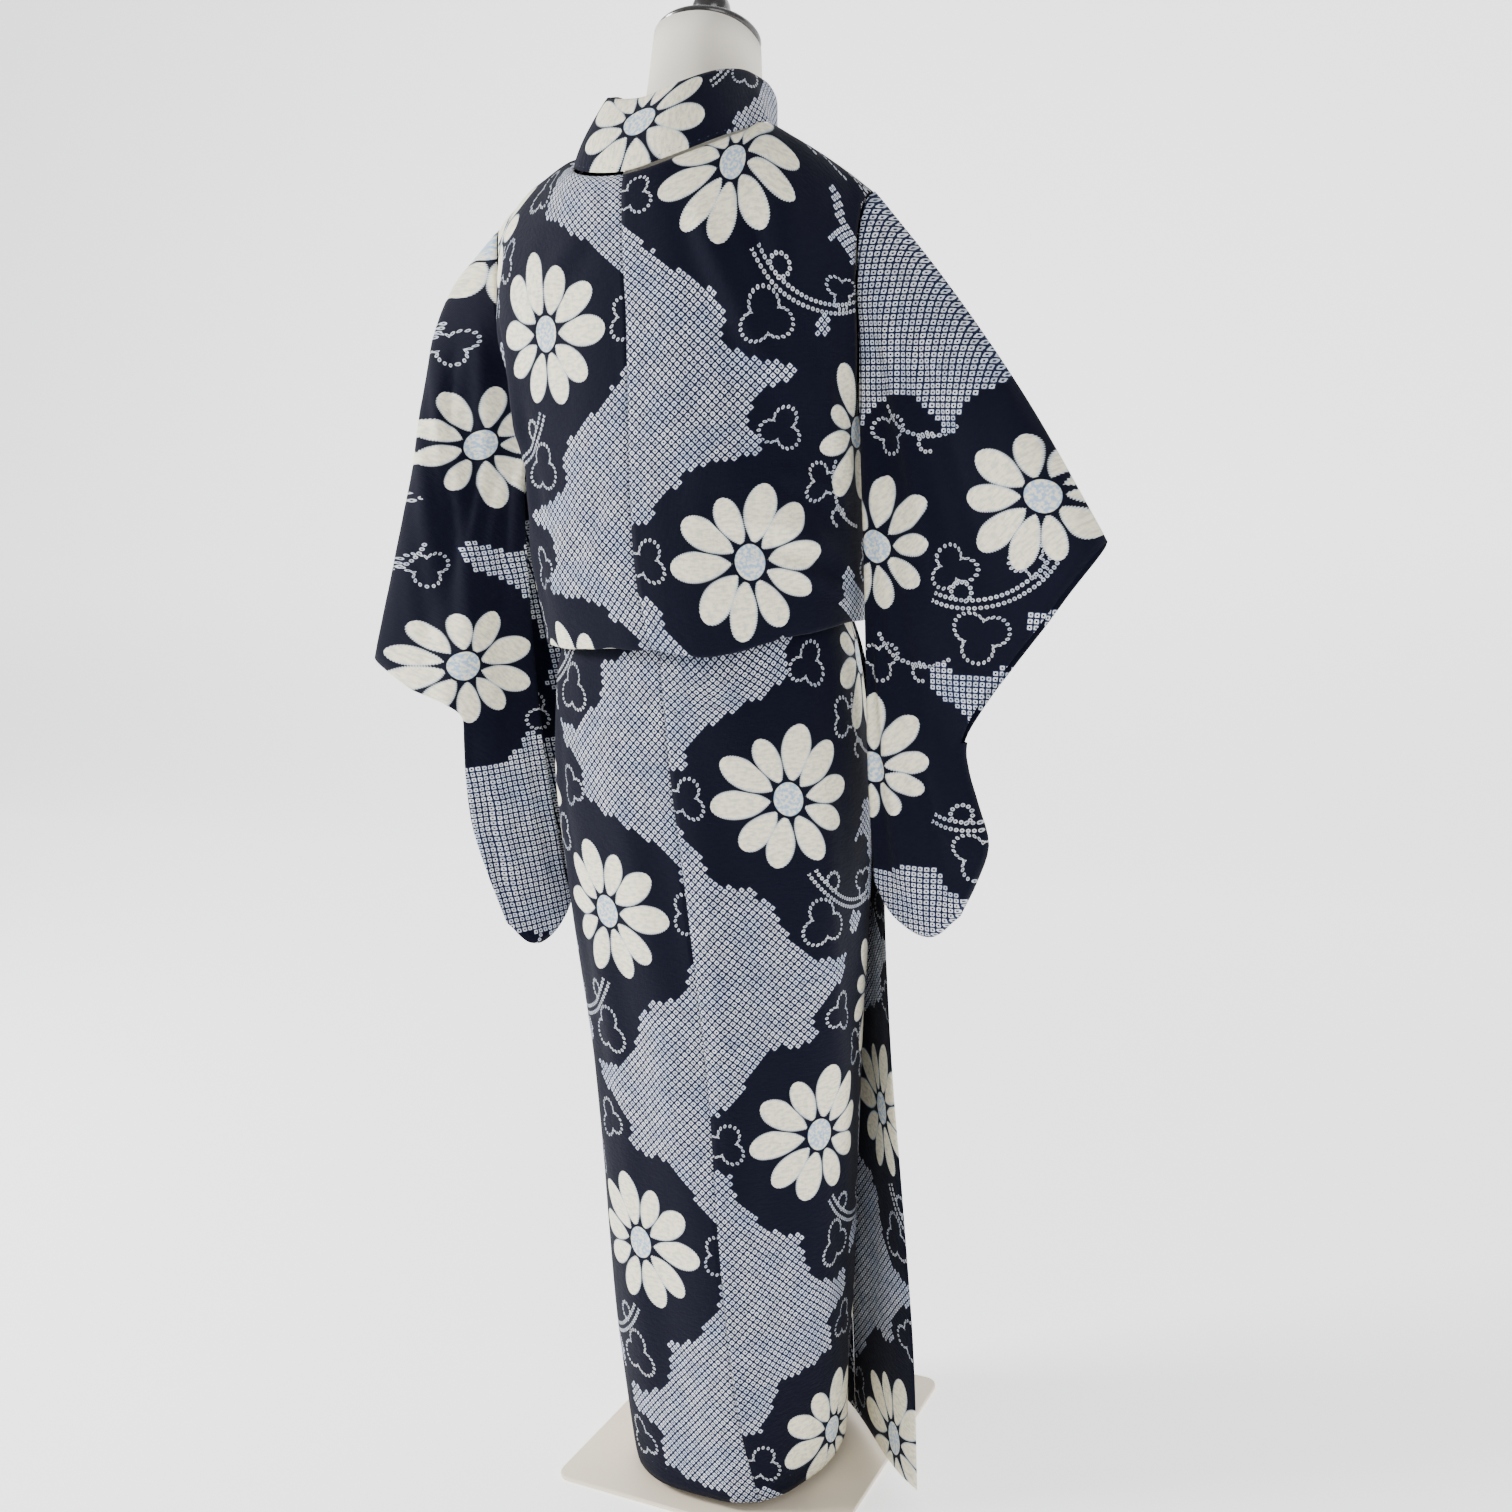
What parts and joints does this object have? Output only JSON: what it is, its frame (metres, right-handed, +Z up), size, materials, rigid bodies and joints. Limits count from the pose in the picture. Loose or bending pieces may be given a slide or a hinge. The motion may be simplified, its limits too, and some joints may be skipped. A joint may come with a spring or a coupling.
{
  "type": "women's cotton yukata robe on a limbless dress form with a square base",
  "caption": "Navy cotton yukata robe with a folded waist tuck and long sleeves, worn by a limbless dress form on a pole and a square steel base.",
  "frame": {"origin": "middle of the bounding box's underside, where the square base rests on the floor", "axes": "+Z up, -Y towards the front of the worn robe, +X towards the wearer's left"},
  "size_m": [0.7375, 0.3, 1.4338],
  "materials": {
    "cotton": "matt plain-weave cotton, navy with a pale dyed print",
    "jersey": "matt ivory jersey",
    "lacquer": "black satin lacquer",
    "enamel": "ivory satin powder coat"
  },
  "bodies": {
    "root": {"back_left": "cotton", "back_right": "cotton", "front_left": "cotton", "front_right": "cotton", "okumi_left": "cotton", "okumi_right": "cotton", "collar": "cotton", "sleeve_left": "cotton", "sleeve_right": "cotton", "base_plate": "enamel", "pole": "enamel", "form_torso": "jersey", "neck_cap": "lacquer", "knob": "lacquer"}
  },
  "joints": []
}
